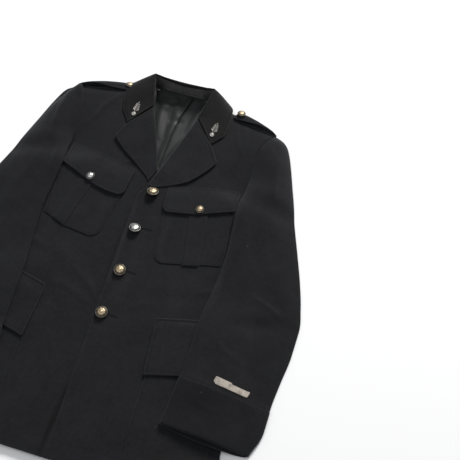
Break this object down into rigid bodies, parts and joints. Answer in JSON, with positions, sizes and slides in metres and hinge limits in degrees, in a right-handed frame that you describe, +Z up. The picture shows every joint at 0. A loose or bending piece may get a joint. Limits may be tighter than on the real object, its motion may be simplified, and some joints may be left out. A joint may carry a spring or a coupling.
{
  "type": "military police uniform jacket",
  "caption": "Single-breasted dark wool uniform tunic with patch pockets, shoulder straps and turned-back cuffs, laid flat on its back with the fronts buttoned and the collar open.",
  "frame": {"origin": "middle of the laid jacket's plan, on the surface that its back rests on", "axes": "+X to the wearer's left, across the chest; +Y towards the collar; +Z up, away from the surface"},
  "size_m": [0.737, 0.826, 0.044],
  "materials": {
    "wool": "fulled wool, slight nap",
    "collar_wool": "close-napped wool",
    "lining": "satin, creased",
    "gilt": "worn gilt, domed",
    "silver": "worn silver",
    "braid": "woven tape, worn"
  },
  "bodies": {
    "root": {"back": "wool", "back_lining": "lining", "front_left": "wool", "front_right": "wool", "lapel_left": "wool", "lapel_right": "wool", "breast_pocket_left": "wool", "breast_pocket_right": "wool", "breast_flap_left": "wool", "breast_flap_right": "wool", "lower_pocket_left": "wool", "lower_pocket_right": "wool", "lower_flap_left": "wool", "lower_flap_right": "wool", "collar_leaf": "collar_wool", "collar_stand": "collar_wool", "top_sleeve_left": "wool", "top_sleeve_right": "wool", "under_sleeve_left": "wool", "under_sleeve_right": "wool", "cuff_left": "wool", "cuff_right": "wool", "epaulette_left": "wool", "epaulette_right": "wool", "front_button_1": "gilt", "front_button_2": "silver", "front_button_3": "gilt", "front_button_4": "gilt", "breast_button_left": "gilt", "breast_button_right": "silver", "epaulette_button_left": "gilt", "epaulette_button_right": "gilt", "collar_badge_left": "silver", "collar_badge_right": "silver", "sleeve_bar_left": "braid"}
  },
  "joints": []
}
